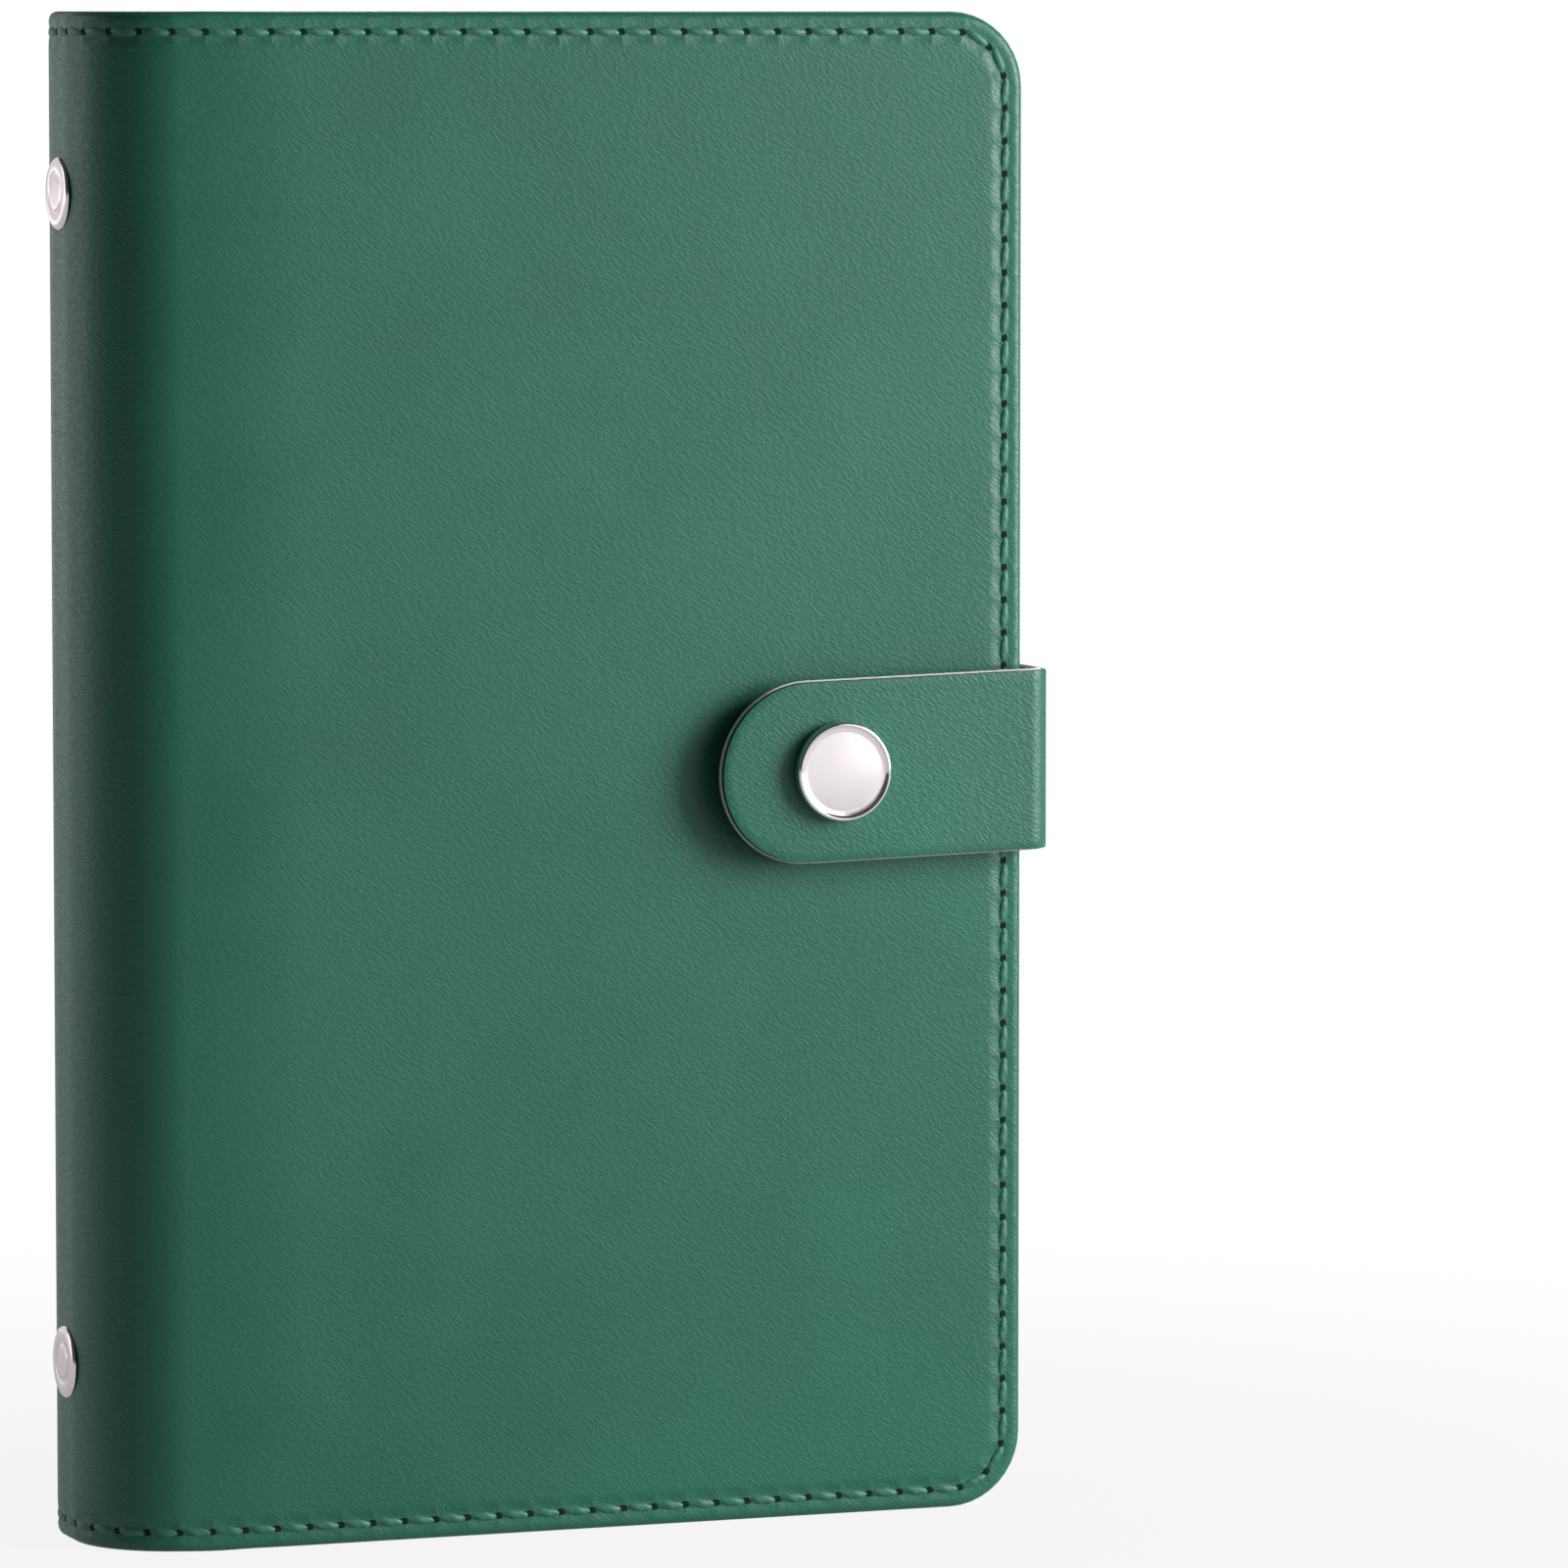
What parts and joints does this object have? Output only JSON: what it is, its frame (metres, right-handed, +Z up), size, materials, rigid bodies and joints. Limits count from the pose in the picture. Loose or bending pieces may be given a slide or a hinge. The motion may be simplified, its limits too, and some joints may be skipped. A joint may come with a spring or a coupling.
{
  "type": "cash envelope wallet",
  "caption": "Ring-binder cash wallet in green imitation leather: snap strap, spine rivets, and clear film envelopes on an inner ring mechanism.",
  "frame": {"origin": "middle of the base: the centre of the closed wallet's box, at the bottom edges it stands on", "axes": "+Z up along the spine, +X from the spine to the fore edge, -Y out of the front cover"},
  "size_m": [0.1254, 0.0384, 0.19],
  "materials": {
    "green_leather": "semi-gloss fine grain",
    "snap_metal": "polished",
    "rivet_metal": "polished",
    "ring_metal": "nickel plated",
    "clear_film": "clear"
  },
  "bodies": {
    "binder": {"spine": "green_leather", "back_cover": "green_leather", "strap_wrap": "green_leather", "spine_rivet_top": "rivet_metal", "spine_rivet_bottom": "rivet_metal", "ring_housing": "ring_metal", "envelope_1": "clear_film", "envelope_2": "clear_film", "envelope_3": "clear_film", "envelope_4": "clear_film", "envelope_5": "clear_film", "envelope_6": "clear_film", "envelope_7": "clear_film", "envelope_8": "clear_film", "envelope_9": "clear_film", "envelope_10": "clear_film"},
    "front_cover": {"front_cover": "green_leather", "snap_stud": "snap_metal", "snap_eyelet": "snap_metal"},
    "strap": {"strap_tab": "green_leather", "snap_cap": "snap_metal", "snap_socket": "snap_metal"},
    "front_rings": {"hinge_plate_front": "ring_metal", "ring_front_1": "ring_metal", "ring_front_2": "ring_metal", "ring_front_3": "ring_metal", "ring_front_4": "ring_metal", "ring_front_5": "ring_metal", "ring_front_6": "ring_metal"},
    "back_rings": {"hinge_plate_back": "ring_metal", "ring_back_1": "ring_metal", "ring_back_2": "ring_metal", "ring_back_3": "ring_metal", "ring_back_4": "ring_metal", "ring_back_5": "ring_metal", "ring_back_6": "ring_metal"}
  },
  "joints": [
    {"name": "strap_hinge", "type": "hinge", "parent": "binder", "child": "strap", "pos_m": [0.0595, -0.01735, 0.095], "axis": [0, 0, 1], "range_deg": [0, 150]},
    {"name": "front_cover_hinge", "type": "hinge", "parent": "binder", "child": "front_cover", "pos_m": [-0.0481, -0.01295, 0.095], "axis": [0, 0, -1], "range_deg": [0, 180]},
    {"name": "front_rings_hinge", "type": "hinge", "parent": "binder", "child": "front_rings", "pos_m": [-0.05729, -0.0031, 0.095], "axis": [0, 0, -1], "range_deg": [0, 11]},
    {"name": "back_rings_hinge", "type": "hinge", "parent": "binder", "child": "back_rings", "pos_m": [-0.05729, 0.0095, 0.095], "axis": [0, 0, -1], "range_deg": [-11, 0]}
  ],
  "couplings": [
    {"joint": "back_rings_hinge", "follows": "front_rings_hinge", "ratio": -1}
  ]
}
